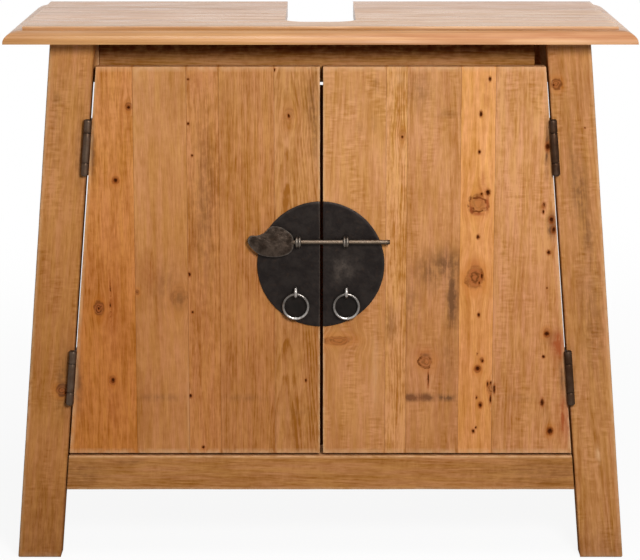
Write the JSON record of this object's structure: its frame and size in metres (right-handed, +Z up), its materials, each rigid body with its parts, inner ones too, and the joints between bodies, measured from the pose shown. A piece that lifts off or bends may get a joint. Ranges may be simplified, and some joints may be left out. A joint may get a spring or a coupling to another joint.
{
  "type": "washstand base cabinet",
  "caption": "Low pine washstand cabinet with splayed legs, a moulded top cut out for a waste pipe, plank doors on leaning butt hinges, and a round iron slide-bolt latch with ring pulls.",
  "frame": {"origin": "on the floor, under the middle of the top board in width and depth", "axes": "+X to the right seen from the front, +Y from the doors towards the open back, +Z up"},
  "size_m": [0.7036, 0.32, 0.62],
  "materials": {
    "top_pine": "waxed reclaimed pine, pale on the flat, orange on the moulding",
    "leg_pine": "waxed reclaimed pine, honey brown",
    "door_pine": "waxed reclaimed pine planks with knots and old nail holes",
    "inner_pine": "bare planed pine",
    "hinge_steel": "browned, dull",
    "plate_iron": "blackened sheet iron, mottled",
    "bolt_iron": "forged, browned, rubbed bright on the high places",
    "ring_steel": "bright drawn wire"
  },
  "bodies": {
    "carcass": {"top_board": "top_pine", "front_left_leg": "leg_pine", "front_right_leg": "leg_pine", "rear_left_leg": "leg_pine", "rear_right_leg": "leg_pine", "left_side_panel": "leg_pine", "right_side_panel": "leg_pine", "left_upper_side_rail": "inner_pine", "right_upper_side_rail": "inner_pine", "left_lower_side_rail": "inner_pine", "right_lower_side_rail": "inner_pine", "top_front_rail": "leg_pine", "bottom_front_rail": "leg_pine", "bottom_board": "inner_pine", "rear_bottom_rail": "inner_pine", "rear_top_rail": "inner_pine", "upper_left_hinge_leg_leaf": "hinge_steel", "upper_right_hinge_leg_leaf": "hinge_steel", "lower_left_hinge_leg_leaf": "hinge_steel", "lower_right_hinge_leg_leaf": "hinge_steel", "upper_left_hinge_pin": "hinge_steel", "upper_right_hinge_pin": "hinge_steel", "lower_left_hinge_pin": "hinge_steel", "lower_right_hinge_pin": "hinge_steel"},
    "left_door": {"left_door_panel": "door_pine", "left_door_upper_ledge": "inner_pine", "left_door_lower_ledge": "inner_pine", "meeting_batten": "door_pine", "left_latch_plate": "plate_iron", "left_bolt_eye": "bolt_iron", "left_ring_eye": "ring_steel", "upper_left_hinge_door_leaf": "hinge_steel", "lower_left_hinge_door_leaf": "hinge_steel"},
    "right_door": {"right_door_panel": "door_pine", "right_door_upper_ledge": "inner_pine", "right_door_lower_ledge": "inner_pine", "right_latch_plate": "plate_iron", "right_bolt_eye": "bolt_iron", "right_ring_eye": "ring_steel", "upper_right_hinge_door_leaf": "hinge_steel", "lower_right_hinge_door_leaf": "hinge_steel"},
    "bolt": {"latch_bolt": "bolt_iron"},
    "left_ring": {"left_ring_pull": "ring_steel"},
    "right_ring": {"right_ring_pull": "ring_steel"}
  },
  "joints": [
    {"name": "left_door_hinge", "type": "hinge", "parent": "carcass", "child": "left_door", "pos_m": [-0.28503, -0.1248, 0.2163], "axis": [-0.0828, 0, -0.9966], "range_deg": [0, 150]},
    {"name": "right_door_hinge", "type": "hinge", "parent": "carcass", "child": "right_door", "pos_m": [0.28503, -0.1248, 0.2163], "axis": [-0.0828, 0, 0.9966], "range_deg": [0, 150]},
    {"name": "bolt_slide", "type": "slide", "parent": "left_door", "child": "bolt", "axis": [-1, 0, 0], "range_m": [0, 0.08]},
    {"name": "left_ring_swing", "type": "hinge", "parent": "left_door", "child": "left_ring", "pos_m": [-0.028, -0.1282, 0.3146], "axis": [-1, 0, 0], "range_deg": [-7, 150]},
    {"name": "right_ring_swing", "type": "hinge", "parent": "right_door", "child": "right_ring", "pos_m": [0.0296, -0.1282, 0.3146], "axis": [-1, 0, 0], "range_deg": [-7, 150]}
  ]
}
